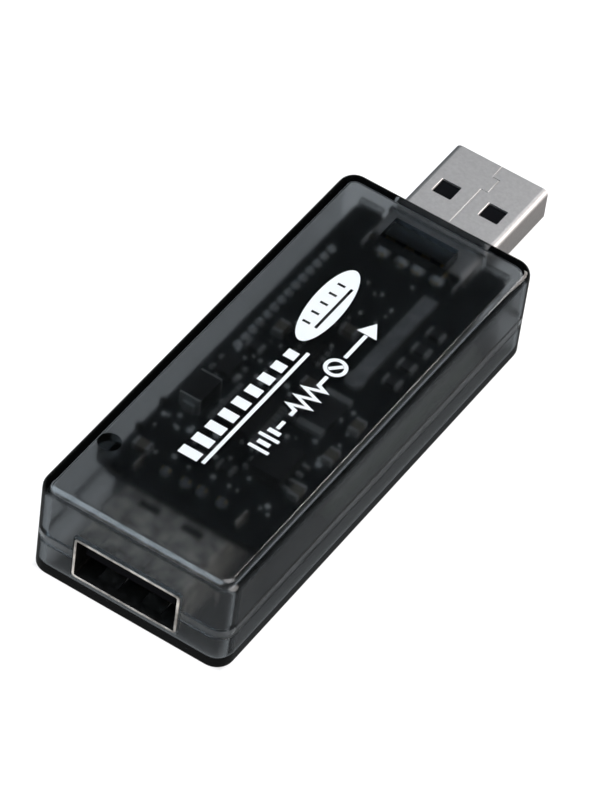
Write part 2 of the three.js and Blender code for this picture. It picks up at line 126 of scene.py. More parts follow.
def rounded_ring(half_a, half_b, radius, steps=8):
    """Points round a rounded rectangle, as pairs, starting at its first corner and going anticlockwise."""
    points = []
    for corner, (sign_a, sign_b) in enumerate([(1, 1), (-1, 1), (-1, -1), (1, -1)]):
        centre_a = sign_a * (half_a - radius)
        centre_b = sign_b * (half_b - radius)
        for step in range(steps + 1):
            angle = math.pi / 2 * (corner + step / steps)
            points.append((centre_a + radius * math.cos(angle), centre_b + radius * math.sin(angle)))
    return points


EDGE_ANGLES = (0, 0.4, 0.8, 1.2, math.pi / 2)


def plate_rings(x, y, half_x, half_y, radius, low, high, edge=0.0):
    """Rings of a flat plate with rounded corners and, if edge is given, a rounded rim above and below."""
    levels = [(0, low), (0, high)]
    if edge:
        turn = [(edge * (1 - math.sin(angle)), edge * (1 - math.cos(angle))) for angle in EDGE_ANGLES]
        levels = [(inset, low + rise) for inset, rise in turn]
        levels += [(inset, high - rise) for inset, rise in reversed(turn)]
    rings = []
    for inset, z in levels:
        points = rounded_ring(half_x - inset, half_y - inset, radius - inset)
        rings.append([(x + point_x, y + point_y, z) for point_x, point_y in points])
    return rings


def new_object(name, data):
    """A new object in the scene for a mesh, a curve, a lamp or a camera."""
    made = bpy.data.objects.new(name, data)
    bpy.context.scene.collection.objects.link(made)
    return made


def object_from_bmesh(name, bm):
    bmesh.ops.recalc_face_normals(bm, faces=bm.faces[:])
    mesh = bpy.data.meshes.new(name)
    bm.to_mesh(mesh)
    bm.free()
    return new_object(name, mesh)


def loft(name, rings, closed=False, inner_bands=0):
    """A solid through rings of equally many points: capped at both ends, or closed on itself.
    The first inner_bands bands, and then the first cap too, get the slot of the inside."""
    bm = bmesh.new()
    rows = [[bm.verts.new(point) for point in ring] for ring in rings]
    pairs = list(zip(rows, rows[1:]))
    if closed:
        pairs.append((rows[-1], rows[0]))
    for band, (row, next_row) in enumerate(pairs):
        for index in range(len(row)):
            following = (index + 1) % len(row)
            face = bm.faces.new((row[index], row[following], next_row[following], next_row[index]))
            face.material_index = INSIDE if band < inner_bands else OUTSIDE
    if not closed:
        bm.faces.new(rows[0]).material_index = INSIDE if inner_bands else OUTSIDE
        bm.faces.new(rows[-1])
    return object_from_bmesh(name, bm)


def block(name, low, high, slot_index=OUTSIDE):
    bm = bmesh.new()
    bmesh.ops.create_cube(bm, size=1)
    size = Vector(high) - Vector(low)
    middle = (Vector(high) + Vector(low)) / 2
    bmesh.ops.scale(bm, vec=size, verts=bm.verts)
    bmesh.ops.translate(bm, vec=middle, verts=bm.verts)
    for face in bm.faces:
        face.material_index = slot_index
    return object_from_bmesh(name, bm)


def lathe(name, profile, x, y, sides=32, slot_index=OUTSIDE):
    """A solid turned about an upright axis, from (radius, height) pairs that start and end at radius 0."""
    bm = bmesh.new()
    bottom = bm.verts.new((x, y, profile[0][1]))
    top = bm.verts.new((x, y, profile[-1][1]))
    rows = []
    for radius, height in profile[1:-1]:
        row = []
        for side in range(sides):
            angle = 2 * math.pi * side / sides
            row.append(bm.verts.new((x + radius * math.cos(angle), y + radius * math.sin(angle), height)))
        rows.append(row)
    for side in range(sides):
        following = (side + 1) % sides
        bm.faces.new((bottom, rows[0][following], rows[0][side]))
        bm.faces.new((top, rows[-1][side], rows[-1][following]))
        for row, next_row in zip(rows, rows[1:]):
            bm.faces.new((row[side], row[following], next_row[following], next_row[side]))
    for face in bm.faces:
        face.material_index = slot_index
    return object_from_bmesh(name, bm)


def rod(name, x, y, radius, low, high, slot_index=OUTSIDE):
    profile = [(0, low), (radius, low), (radius, high), (0, high)]
    return lathe(name, profile, x, y, slot_index=slot_index)


def baked(piece):
    """Replaces a piece's mesh by what its modifiers make of it."""
    graph = bpy.context.evaluated_depsgraph_get()
    mesh = bpy.data.meshes.new_from_object(piece.evaluated_get(graph))
    piece.modifiers.clear()
    piece.data = mesh
    return piece


def combine(piece, operation, *tools):
    """Joins tools to the piece or cuts them out of it, and removes the tools."""
    for tool in tools:
        for material in piece.data.materials:
            tool.data.materials.append(material)
        change = piece.modifiers.new("combine", "BOOLEAN")
        change.operation = operation
        change.solver = "EXACT"
        change.object = tool
        baked(piece)
        bpy.data.objects.remove(tool)


BEVEL_ANGLE = math.radians(30)
SHARP_ANGLE = math.radians(35)


def soften(piece, width=0.0):
    """Rounds sharp edges if a width is given, then shades smoothly in a way that keeps flat faces flat."""
    if width:
        bevel = piece.modifiers.new("bevel", "BEVEL")
        bevel.width = width
        bevel.segments = 2
        bevel.limit_method = "ANGLE"
        bevel.angle_limit = BEVEL_ANGLE
        bevel.use_clamp_overlap = True
        baked(piece)
    piece.data.shade_smooth()
    piece.data.set_sharp_from_angle(angle=SHARP_ANGLE)
    weighted = piece.modifiers.new("weighted normals", "WEIGHTED_NORMAL")
    weighted.keep_sharp = True
    return baked(piece)


def add_piece(piece, material=None, body=METER, replaces=()):
    """Puts a finished piece on its body, with its finish and the CAD nodes that it stands for."""
    if material:
        piece.data.materials.clear()
        piece.data.materials.append(material)
    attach(piece, body)
    if replaces:
        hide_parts(*replaces)


# -------------------------------- materials

def new_material(name, roughness, base=(0.8, 0.8, 0.8), metallic=0.0):
    material = bpy.data.materials.new(name)
    material.use_nodes = True
    shader = material.node_tree.nodes["Principled BSDF"]
    shader.inputs["Base Color"].default_value = (*base, 1)
    shader.inputs["Roughness"].default_value = roughness
    shader.inputs["Metallic"].default_value = metallic
    return material


def shader_of(material):
    return material.node_tree.nodes["Principled BSDF"]


def add_node(material, kind, **settings):
    node = material.node_tree.nodes.new(kind)
    for name, value in settings.items():
        setattr(node, name, value)
    return node


def connect(material, source, target):
    material.node_tree.links.new(source, target)


def noise(material, scale, detail=3.0, stretch=(1, 1, 1)):
    """Noise over the object's own coordinates, with scale in features per metre."""
    place = add_node(material, "ShaderNodeTexCoord")
    mapping = add_node(material, "ShaderNodeMapping")
    mapping.inputs["Scale"].default_value = stretch
    texture = add_node(material, "ShaderNodeTexNoise")
    texture.inputs["Scale"].default_value = scale
    texture.inputs["Detail"].default_value = detail
    connect(material, place.outputs["Object"], mapping.inputs["Vector"])
    connect(material, mapping.outputs["Vector"], texture.inputs["Vector"])
    return texture.outputs["Fac"]


def spread(material, source, low, high, start=0.3, end=0.7):
    """Maps a value between start and end, where noises mostly lie, to one between low and high."""
    ranged = add_node(material, "ShaderNodeMapRange")
    ranged.inputs["From Min"].default_value = start
    ranged.inputs["From Max"].default_value = end
    ranged.inputs["To Min"].default_value = low
    ranged.inputs["To Max"].default_value = high
    connect(material, source, ranged.inputs["Value"])
    return ranged.outputs["Result"]


def calculate(material, operation, *values):
    """The result of a math node whose inputs are the values, each a number or another node's output."""
    node = add_node(material, "ShaderNodeMath", operation=operation)
    for socket, value in zip(node.inputs, values):
        if isinstance(value, (int, float)):
            socket.default_value = value
        else:
            connect(material, value, socket)
    return node.outputs[0]


def vary_roughness(material, scale, low, high):
    grain = noise(material, scale)
    connect(material, spread(material, grain, low, high), shader_of(material).inputs["Roughness"])


def add_bump(material, scale, height, strength, stretch=(1, 1, 1)):
    bump = add_node(material, "ShaderNodeBump")
    bump.inputs["Strength"].default_value = strength
    bump.inputs["Distance"].default_value = height
    connect(material, noise(material, scale, stretch=stretch), bump.inputs["Height"])
    connect(material, bump.outputs["Normal"], shader_of(material).inputs["Normal"])


def colour_ramp(material, source, stops):
    ramp = add_node(material, "ShaderNodeValToRGB")
    elements = ramp.color_ramp.elements
    while len(elements) < len(stops):
        elements.new(0.5)
    for element, (position, colour) in zip(elements, stops):
        element.position = position
        element.color = (*colour, 1)
    connect(material, source, ramp.inputs["Fac"])
    return ramp.outputs["Color"]


def vary_colour(material, scale, dark, light, stretch=(1, 1, 1), detail=3.0):
    tone = colour_ramp(material, noise(material, scale, detail, stretch), [(0.3, dark), (0.7, light)])
    connect(material, tone, shader_of(material).inputs["Base Color"])


SMOKE_TINT = (0.30, 0.335, 0.36)
SMOKE_DENSITY = 980.0


def add_smoke(material, density=SMOKE_DENSITY):
    """Makes a material see-through, and darker the more of it the light crosses."""
    shader = shader_of(material)
    shader.inputs["Transmission Weight"].default_value = 1
    shader.inputs["IOR"].default_value = 1.53
    absorption = add_node(material, "ShaderNodeVolumeAbsorption")
    absorption.inputs["Color"].default_value = (*SMOKE_TINT, 1)
    absorption.inputs["Density"].default_value = density
    output = material.node_tree.nodes["Material Output"]
    connect(material, absorption.outputs["Volume"], output.inputs["Volume"])


FROSTED = "frosted"
POLISHED_ROUGHNESS = 0.06
# What the frosting adds to the roughness, hardly varied, so that it blurs evenly.
FROSTING = (0.195, 0.205)


def smoke():
    """Smoky plastic, polished outside and finely frosted inside, as the faces' own attribute says."""
    material = new_material("smoke", roughness=POLISHED_ROUGHNESS, base=(1, 1, 1))
    add_smoke(material)
    frosted = add_node(material, "ShaderNodeAttribute", attribute_name=FROSTED)
    frosting = spread(material, noise(material, 500), *FROSTING)
    roughness = calculate(material, "MULTIPLY_ADD", frosted.outputs["Fac"], frosting, POLISHED_ROUGHNESS)
    connect(material, roughness, shader_of(material).inputs["Roughness"])
    return material


def window_acrylic():
    material = new_material("window_acrylic", roughness=0.03, base=(0.9, 0.93, 0.95))
    add_smoke(material, density=500)
    return material


def nickel():
    material = new_material("nickel", roughness=0.5, base=(0.74, 0.725, 0.715), metallic=1)
    vary_colour(material, 2500, (0.7, 0.685, 0.675), (0.78, 0.765, 0.755))
    return material


def dull_nickel():
    """The socket's sheet, duller and warmer than the plug's, and blotched."""
    material = new_material("dull_nickel", roughness=0.62, base=(0.8, 0.76, 0.72), metallic=0.4)
    vary_colour(material, 650, (0.24, 0.22, 0.2), (1.0, 0.93, 0.85), detail=4)
    return material


def painted_shade_nickel():
    """The socket's sheet where it lies deep in shade, with that shade painted in: its inner faces are made
    much darker than its outside.
    """
    material = new_material("painted_shade_nickel", roughness=0.34, base=(0.1, 0.097, 0.094), metallic=1)
    vary_roughness(material, 1200, 0.28, 0.42)
    return material


def gilt():
    material = new_material("gilt", roughness=0.3, base=(0.83, 0.62, 0.27), metallic=1)
    vary_roughness(material, 1500, 0.24, 0.36)
    return material


def tin():
    material = new_material("tin", roughness=0.4, base=(0.9, 0.9, 0.89), metallic=0.5)
    vary_roughness(material, 1200, 0.32, 0.5)
    add_bump(material, 1500, mm(0.01), strength=0.5)
    return material


def dull_tin():
    material = new_material("dull_tin", roughness=0.6, base=(0.38, 0.38, 0.38), metallic=0.5)
    vary_colour(material, 1100, (0.3, 0.3, 0.3), (0.46, 0.46, 0.46))
    vary_roughness(material, 1200, 0.5, 0.7)
    return material


def black_plastic():
    material = new_material("black_plastic", roughness=0.6, base=(0.004, 0.004, 0.005))
    shader_of(material).inputs["Specular IOR Level"].default_value = 0.06
    vary_roughness(material, 2500, 0.52, 0.7)
    add_bump(material, 4000, mm(0.006), strength=0.5)
    return material


def white_plastic():
    material = new_material("white_plastic", roughness=0.5, base=(0.8, 0.81, 0.78))
    vary_colour(material, 400, (0.74, 0.76, 0.72), (0.84, 0.85, 0.82))
    return material


def board_mask():
    material = new_material("board_mask", roughness=0.45, base=(0.01, 0.013, 0.015))
    shader_of(material).inputs["Specular IOR Level"].default_value = 0.2
    vary_colour(material, 700, (0.003, 0.005, 0.006), (0.017, 0.022, 0.024), stretch=(1.6, 0.4, 1))
    vary_roughness(material, 900, 0.38, 0.55)
    add_bump(material, 900, mm(0.03), strength=0.6, stretch=(1.6, 0.4, 1))
    return material


CHIP_END_TONE = (0.45, 0.45, 0.44)
CHIP_END_METALLIC = 0.4


def chip_with_metal_ends(name, body_tone, end_share=0.2, axis=0):
    """A small chip part: its two ends along the given axis of its own box are dull tin."""
    material = new_material(name, roughness=0.5, base=body_tone)
    place = add_node(material, "ShaderNodeTexCoord")
    split = add_node(material, "ShaderNodeSeparateXYZ")
    connect(material, place.outputs["Generated"], split.inputs["Vector"])
    off_middle = calculate(material, "SUBTRACT", split.outputs[axis], 0.5)
    distance = calculate(material, "ABSOLUTE", off_middle)
    is_end = calculate(material, "GREATER_THAN", distance, 0.5 - end_share)
    tone = colour_ramp(material, is_end, [(0.0, body_tone), (1.0, CHIP_END_TONE)])
    connect(material, tone, shader_of(material).inputs["Base Color"])
    metallic = spread(material, is_end, 0, CHIP_END_METALLIC, 0, 1)
    connect(material, metallic, shader_of(material).inputs["Metallic"])
    return material


def display_cell():
    material = new_material("display_cell", roughness=0.12, base=(0.52, 0.58, 0.48))
    vary_colour(material, 60, (0.48, 0.54, 0.44), (0.56, 0.62, 0.52))
    return material


def rubber():
    material = new_material("rubber", roughness=0.6, base=(0.04, 0.04, 0.043))
    vary_roughness(material, 2000, 0.55, 0.72)
    add_bump(material, 3500, mm(0.01), strength=0.5)
    return material


def ink():
    material = new_material("ink", roughness=0.5, base=(0.97, 0.97, 0.96))
    vary_colour(material, 900, (0.96, 0.96, 0.95), (0.98, 0.98, 0.97))
    add_bump(material, 3000, mm(0.004), strength=0.4)
    return material


SMOKE = smoke()
NICKEL = nickel()
GILT = gilt()
TIN = tin()
DULL_TIN = dull_tin()
BLACK = black_plastic()
WHITE = white_plastic()
INK = ink()


# -------------------------------- housing

ARC_STEPS = 8
LEAST_CORNER = mm(0.6)
RIM_EDGE = mm(0.06)
REBATE_INSET = mm(0.5)
LIP_INSET = mm(0.6)
LIP_HEIGHT = mm(0.9)
LIP_CHAMFER = mm(0.1)
SUNK = mm(0.3)

PAD_LOW = (mm(-4), along(53), PLUG_HIGH.z + CLEARANCE)
PAD_HIGH = (mm(4), along(56.4), CEILING + SUNK)
RIB_SPAN = (mm(6.6), mm(9.6))
RIB_DEPTHS = (FAR_END - WALL - mm(0.7), FAR_END - WALL + mm(0.4))
RIB_HEIGHTS = (BOARD_TOP + mm(0.1), BOARD_TOP + mm(0.6))
UPPER_POST_PLACE = (mm(-9.65), along(9.8))
UPPER_POST_RADIUS = mm(1.3)
UPPER_POST_HEIGHTS = (BOARD_TOP + mm(0.2), CEILING + SUNK)
LOWER_POST_PLACES = [
    (mm(-8.7), along(11.6)),
    (mm(8.7), along(11.6)),
    (mm(-8.2), along(55.4)),
    (mm(8.2), along(55.4)),
]
LOWER_POST_RADIUS = mm(1)
LOWER_POST_HEIGHTS = (FLOOR_THICKNESS - SUNK, BOARD_LOW.z - mm(0.05))
SILL_HALF = PLUG_HIGH.x - mm(0.05)
SILL_LOW = (-SILL_HALF, FAR_END - WALL - mm(0.2), mm(2))
SILL_HIGH = (SILL_HALF, FAR_END, PLUG_LOW.z - mm(0.2))
WINDOW_LEDGE = mm(1)
WINDOW_POCKET_TOP = mm(0.8)
OPENING_CORNER = mm(0.8)
POCKET_CORNER = mm(1.2)
WINDOW_CORNER = mm(1.1)
WINDOW_EDGE = mm(0.15)
BUTTON_HOLE_RADIUS = mm(2.3)
THROUGH_FLOOR = mm(2)


def housing_ring(inset, z):
    """A ring round the housing, inset from its outside, at a height."""
    radius = max(CORNER - inset, LEAST_CORNER)
    points = rounded_ring(HALF_WIDTH - inset, HALF_LENGTH - inset, radius)
    return [(x, MIDDLE_Y + y, z) for x, y in points]


def fillet_rings(inset, z, radius, upward):
    """Rings round a quarter-round edge, from a wall at inset to a flat at z. Upward is 1 for a roof's edge
    and -1 for a floor's."""
    rings = []
    for step in range(ARC_STEPS + 1):
        angle = math.pi / 2 * step / ARC_STEPS
        rings.append(housing_ring(
            inset + radius * (1 - math.cos(angle)),
            z - upward * radius * (1 - math.sin(angle)),
        ))
    return rings


def half_shell(name, inner_flat, rim, outer_flat, outer_edge, upward):
    """One half of the housing. Its two slots hold one material, and tell its outer faces from its inner ones
    while it is cut. The last three rings of the rim are its outer edge, so they are left outside."""
    inside = list(reversed(fillet_rings(WALL, inner_flat, INNER_FILLET, upward)))
    outside = fillet_rings(0, outer_flat, outer_edge, upward)
    shell = loft(name, inside + rim + outside, inner_bands=len(inside) + len(rim) - 3)
    shell.data.materials.append(SMOKE)
    shell.data.materials.append(SMOKE)
    return shell


def frost_inside(piece):
    """Turns the inside's slot into the attribute that the material reads, and drops that slot."""
    mesh = piece.data
    frosted = mesh.attributes.new(FROSTED, "FLOAT", "FACE")
    for face, value in zip(mesh.polygons, frosted.data):
        value.value = face.material_index
        face.material_index = OUTSIDE
    mesh.materials.pop(index=INSIDE)


def socket_cutter():
    low = (SOCKET_LOW.x - CLEARANCE, NEAR_END - CUT_PAST, SOCKET_LOW.z - CLEARANCE)
    high = (SOCKET_HIGH.x + CLEARANCE, along(3), SOCKET_TOP + CLEARANCE)
    return block("socket_cutter", low, high, INSIDE)


def plug_cutter():
    low = (PLUG_LOW.x - CLEARANCE, FAR_END - WALL - CUT_PAST, PLUG_LOW.z - CLEARANCE)
    high = (PLUG_HIGH.x + CLEARANCE, FAR_END + CUT_PAST, PLUG_HIGH.z + CLEARANCE)
    return block("plug_cutter", low, high, INSIDE)


def back_shell():
    lip_room = RIM + LIP_HEIGHT + CLEARANCE
    rim = [
        housing_ring(WALL, lip_room),
        housing_ring(REBATE_INSET, lip_room),
        housing_ring(REBATE_INSET, RIM + RIM_EDGE),
        housing_ring(REBATE_INSET - RIM_EDGE, RIM),
        housing_ring(RIM_EDGE, RIM),
        housing_ring(RIM_EDGE / 3, RIM + RIM_EDGE / 3),
        housing_ring(0, RIM + RIM_EDGE),
    ]
    shell = half_shell("back_shell_detailed", CEILING, rim, ROOF, ROOF_EDGE, 1)
    pad = block("plug_pad", PAD_LOW, PAD_HIGH, INSIDE)
    post = rod("board_post", *UPPER_POST_PLACE, UPPER_POST_RADIUS, *UPPER_POST_HEIGHTS, INSIDE)
    ribs = []
    for side in (-1, 1):
        x0, x1 = sorted(side * x for x in RIB_SPAN)
        low = (x0, RIB_DEPTHS[0], RIB_HEIGHTS[0])
        high = (x1, RIB_DEPTHS[1], RIB_HEIGHTS[1])
        ribs.append(block("rib", low, high, INSIDE))
    combine(shell, "UNION", pad, post, *ribs)
    combine(shell, "DIFFERENCE", socket_cutter(), plug_cutter())
    frost_inside(soften(shell))
    add_piece(shell, replaces=["back_shell"])


def window_cutter(name, grown, corner, top):
    """A cutter with the display window's outline, grown on every side, from below the floor up to top."""
    half_x = WINDOW_HALF_X + grown
    half_y = WINDOW_HALF_Y + grown
    rings = plate_rings(WINDOW_X, WINDOW_Y, half_x, half_y, corner, -CUT_PAST, top)
    return loft(name, rings, inner_bands=1)


def front_shell():
    parting = RIM - PARTING_GAP
    lip_top = parting + LIP_HEIGHT
    rim = [
        housing_ring(WALL, lip_top - LIP_CHAMFER),
        housing_ring(WALL - LIP_CHAMFER, lip_top),
        housing_ring(LIP_INSET + LIP_CHAMFER, lip_top),
        housing_ring(LIP_INSET, lip_top - LIP_CHAMFER),
        housing_ring(LIP_INSET, parting),
        housing_ring(RIM_EDGE, parting),
        housing_ring(RIM_EDGE / 3, parting - RIM_EDGE / 3),
        housing_ring(0, parting - RIM_EDGE),
    ]
    shell = half_shell("front_shell_detailed", FLOOR_THICKNESS, rim, 0, FLOOR_EDGE, -1)
    combine(shell, "UNION", block("sill", SILL_LOW, SILL_HIGH, INSIDE))
    for place in LOWER_POST_PLACES:
        combine(shell, "UNION", rod("post", *place, LOWER_POST_RADIUS, *LOWER_POST_HEIGHTS, INSIDE))
    opening = window_cutter("opening", -WINDOW_LEDGE, OPENING_CORNER, THROUGH_FLOOR)
    pocket = window_cutter("pocket", CLEARANCE, POCKET_CORNER, WINDOW_POCKET_TOP)
    hole = rod("hole", BUTTON_X, BUTTON_Y, BUTTON_HOLE_RADIUS, -CUT_PAST, THROUGH_FLOOR, INSIDE)
    combine(shell, "DIFFERENCE", opening, pocket, hole, socket_cutter())
    frost_inside(soften(shell))
    add_piece(shell, replaces=["front_shell"])


def display_window():
    heights = (WINDOW_LOW.z, WINDOW_HIGH.z)
    rings = plate_rings(
        WINDOW_X, WINDOW_Y, WINDOW_HALF_X, WINDOW_HALF_Y, WINDOW_CORNER, *heights, edge=WINDOW_EDGE,
    )
    window = soften(loft("display_window_detailed", rings))
    add_piece(window, window_acrylic(), replaces=["display_window"])


# -------------------------------- plug

LEAST_BEND = mm(0.12)


def tube_rings(half_x, half_z, radius, sheet, centre_x, centre_z, near, far, lead):
    """Rings of a sheet tube along Y, from its rear end at near to its open end at far, where both its faces
    are drawn in a little by lead."""
    def ring(inset, y):
        points = rounded_ring(half_x - inset, half_z - inset, max(radius - inset, LEAST_BEND), steps=6)
        return [(centre_x + x, y, centre_z + z) for x, z in points]

    step = lead if far > near else -lead
    return [
        ring(0, near),
        ring(0, far - step),
        ring(lead * 0.3, far - step * 0.3),
        ring(lead, far),
        ring(sheet - lead * 0.3, far),
        ring(sheet, far - step * 0.3),
        ring(sheet, near),
    ]


SEAM_WIDTH = mm(0.1)
SEAM_LEAN = mm(0.13)
SEAM_STEP = mm(0.9)
SEAM_NOTCH = (mm(2.1), mm(4.5))
SEAM_END = along(50)
PLUG_WINDOW = (mm(1.8), mm(4.25), mm(5.72), mm(8.15))
PLUG_WINDOW_CORNER = mm(0.15)
PLUG_WINDOW_SPLAY = mm(0.1)
TAB_INSETS = (mm(0.28), mm(0.04))
TAB_SPAN = (PLUG_LOW.y, along(54.9))
TAB_HEIGHTS = (BOARD_TOP + mm(0.1), BOARD_TOP + mm(0.65))


def leaning_groove(x, y0, y1):
    """A cutter for a run of the seam along the plug, with one wall leaning back to catch the light."""
    top = PLUG_HIGH.z
    outline = [
        (x - 2 * SEAM_LEAN, top + SEAM_LEAN),
        (x, top + SEAM_LEAN),
        (x, top - SEAM_LEAN),
    ]
    return loft("groove", [[(point_x, y, z) for point_x, z in outline] for y in (y0, y1)])


def seam_cutters():
    """The folded seam: straight back from the tip, one step aside and back again, then straight on."""
    half = SEAM_WIDTH / 2
    low = PLUG_HIGH.z - PLUG_SHEET - mm(0.3)
    high = PLUG_HIGH.z + mm(0.5)
    tip = PLUG_HIGH.y
    near_notch = tip - SEAM_NOTCH[0]
    far_notch = tip - SEAM_NOTCH[1]
    cutters = [
        leaning_groove(0, near_notch, tip + CUT_PAST),
        leaning_groove(SEAM_STEP, far_notch, near_notch),
        leaning_groove(0, SEAM_END, far_notch),
    ]
    for y in (near_notch, far_notch):
        cutters.append(block("seam", (-half, y - half, low), (SEAM_STEP + half, y + half, high)))
    return cutters


def plug_window_cutter(side):
    """A window through both faces of the plug. Its upper rim is splayed on the side that faces the lamp."""
    inner, outer, near, far = PLUG_WINDOW
    x = side * (inner + outer) / 2
    y = PLUG_HIGH.y - (near + far) / 2
    half_x = (outer - inner) / 2
    half_y = (far - near) / 2
    levels = [
        (0, PLUG_LOW.z - CUT_PAST),
        (0, PLUG_HIGH.z - PLUG_WINDOW_SPLAY),
        (PLUG_WINDOW_SPLAY, PLUG_HIGH.z + PLUG_WINDOW_SPLAY),
    ]
    rings = []
    for splay, z in levels:
        points = rounded_ring(half_x + splay, half_y, PLUG_WINDOW_CORNER, steps=3)
        rings.append([(x - splay + point_x, y + point_y, z) for point_x, point_y in points])
    return loft("window", rings)


def plug_shell():
    rings = tube_rings(
        half_x=PLUG_HIGH.x,
        half_z=PLUG_HEIGHT / 2,
        radius=mm(0.75),
        sheet=PLUG_SHEET,
        centre_x=0,
        centre_z=PLUG_HIGH.z - PLUG_HEIGHT / 2,
        near=along(54.6),
        far=PLUG_HIGH.y,
        lead=mm(0.1),
    )
    shell = loft("plug_shell_detailed", rings, closed=True)
    windows = [plug_window_cutter(side) for side in (-1, 1)]
    combine(shell, "DIFFERENCE", *windows, *seam_cutters())
    for side in (-1, 1):
        x0, x1 = sorted(side * (PLUG_HIGH.x - inset) for inset in TAB_INSETS)
        low = (x0, TAB_SPAN[0], TAB_HEIGHTS[0])
        high = (x1, TAB_SPAN[1], TAB_HEIGHTS[1])
        combine(shell, "UNION", block("tab", low, high))
    soften(shell, width=mm(0.03))
    add_piece(shell, NICKEL, replaces=["plug_shell"])


# -------------------------------- socket

FINGER_OFFSET = mm(2.7)
FINGER_SHEET = mm(0.28)
FINGER_HALF_WIDTH = mm(1.24)
FINGER_ROOM_HALF_WIDTH = mm(1.3)
FINGER_ROOM_SPAN = (along(1.2), along(8.4))
LOWER_BOW = mm(0.75)
UPPER_BOW = mm(-0.2)
REAR_CUT_HALF_WIDTH = mm(4.8)
REAR_CUT_SPAN = (along(10.4), along(15))
LEG_SPAN = (along(10.3), along(12.3))
LEG_HALF_THICKNESS = mm(0.12)
LEG_FOOT = SOCKET_LOW.z + mm(2.85)
DIMPLE_Y = along(1.75)

# A finger's course: millimetres from the mouth, and how much of its bow it has taken there.
FINGER_COURSE = [
    (1.0, 0.0),
    (1.7, 0.04),
    (2.6, 0.3),
    (3.6, 0.75),
    (4.4, 0.97),
    (5.1, 1.0),
    (5.8, 0.93),
    (6.6, 0.5),
    (7.4, 0.1),
]
# A dimple's outline: radius, and height from the socket's roof, in millimetres.
DIMPLE_OUTLINE = [
    (0, -0.2),
    (0.6, -0.2),
    (0.6, -0.03),
    (0.45, 0.14),
    (0.25, 0.2),
    (0, 0.22),
]


def contact_finger(x, level, bow, slot_index):
    """A strip of sheet held at the mouth and bowed into the opening, its free end turned back out."""
    lower = [(along(distance), level + bow * share) for distance, share in FINGER_COURSE]
    upper = [(y, z + FINGER_SHEET) for y, z in reversed(lower)]
    sides = (x - FINGER_HALF_WIDTH, x + FINGER_HALF_WIDTH)
    finger = loft("finger", [[(side_x, y, z) for y, z in lower + upper] for side_x in sides])
    for face in finger.data.polygons:
        face.material_index = slot_index
    return finger


def socket_cuts():
    """The cut over the contacts' rear ends, and the room round the two pairs of fingers."""
    low_z = SOCKET_LOW.z - CUT_PAST
    high_z = SOCKET_TOP + CUT_PAST
    cuts = [block(
        "rear_cut",
        (SOCKET_X - REAR_CUT_HALF_WIDTH, REAR_CUT_SPAN[0], SOCKET_TOP - CUT_PAST),
        (SOCKET_X + REAR_CUT_HALF_WIDTH, REAR_CUT_SPAN[1], high_z),
    )]
    for side in (-1, 1):
        x = SOCKET_X + side * FINGER_OFFSET
        low = (x - FINGER_ROOM_HALF_WIDTH, FINGER_ROOM_SPAN[0], low_z)
        high = (x + FINGER_ROOM_HALF_WIDTH, FINGER_ROOM_SPAN[1], high_z)
        # The room's cut faces take the inside slot, a painted shade, so the edges round the fingers stay
        # dark.
        cuts.append(block("finger_room", low, high, INSIDE))
    return cuts


def socket_side_parts(side):
    """One side's lower and upper finger, the dimple before the upper one, and the side's leg."""
    x = SOCKET_X + side * FINGER_OFFSET
    dimple = [(mm(radius), SOCKET_TOP + mm(height)) for radius, height in DIMPLE_OUTLINE]
    leg_x = SOCKET_X + side * (SOCKET_HALF_X - SOCKET_SHEET / 2)
    leg_low = (leg_x - LEG_HALF_THICKNESS, LEG_SPAN[0], LEG_FOOT)
    leg_high = (leg_x + LEG_HALF_THICKNESS, LEG_SPAN[1], SOCKET_HIGH.z)
    return [
        # The lower finger takes the inside slot, a painted shade; the upper one keeps the sheet's outside
        # finish.
        contact_finger(x, SOCKET_LOW.z, LOWER_BOW, INSIDE),
        contact_finger(x, SOCKET_TOP - FINGER_SHEET, UPPER_BOW, OUTSIDE),
        lathe("dimple", dimple, x, DIMPLE_Y, sides=16),
        block("leg", leg_low, leg_high),
    ]


def socket_shell():
    rings = tube_rings(
        half_x=SOCKET_HALF_X,
        half_z=SOCKET_HEIGHT / 2,
        radius=mm(0.5),
        sheet=SOCKET_SHEET,
        centre_x=SOCKET_X,
        centre_z=SOCKET_LOW.z + SOCKET_HEIGHT / 2,
        near=SOCKET_HIGH.y,
        far=NEAR_END,
        lead=mm(0.07),
    )
    shell = loft("socket_shell_detailed", list(reversed(rings)), closed=True, inner_bands=1)
    shell.data.materials.append(dull_nickel())
    # The second slot is a painted shade: the socket's inner faces are made dark, not left to fall into
    # shade.
    shell.data.materials.append(painted_shade_nickel())
    combine(shell, "DIFFERENCE", *socket_cuts())
    combine(shell, "UNION", *socket_side_parts(-1), *socket_side_parts(1))
    soften(shell, width=mm(0.04))
    add_piece(shell, replaces=["socket_shell"])


# -------------------------------- button

CAP_RADIUS = mm(2)
CAP_EDGE = mm(0.3)
FLANGE_RADIUS = mm(2.8)
FLANGE_HEIGHTS = (mm(1.3), mm(2.1))
STEM_RADIUS = mm(1.5)
CAP_STEPS = 4


def memory_button():
    """The button's cap with a rounded edge, the flange that holds it inside the shell, and its stem."""
    face = CAP_LOW.z
    profile = [(0, face), (mm(1.2), face)]
    for step in range(CAP_STEPS + 1):
        angle = math.pi / 2 * step / CAP_STEPS
        radius = CAP_RADIUS - CAP_EDGE + CAP_EDGE * math.sin(angle)
        profile.append((radius, face + CAP_EDGE * (1 - math.cos(angle))))
    profile += [
        (CAP_RADIUS, FLANGE_HEIGHTS[0]),
        (FLANGE_RADIUS, FLANGE_HEIGHTS[0]),
        (FLANGE_RADIUS, FLANGE_HEIGHTS[1]),
        (STEM_RADIUS, FLANGE_HEIGHTS[1]),
        (STEM_RADIUS, CAP_HIGH.z),
        (0, CAP_HIGH.z),
    ]
    cap = soften(lathe("memory_button_detailed", profile, BUTTON_X, BUTTON_Y, sides=48))
    add_piece(cap, rubber(), body=BUTTON, replaces=["memory_button"])


# -------------------------------- solder joints

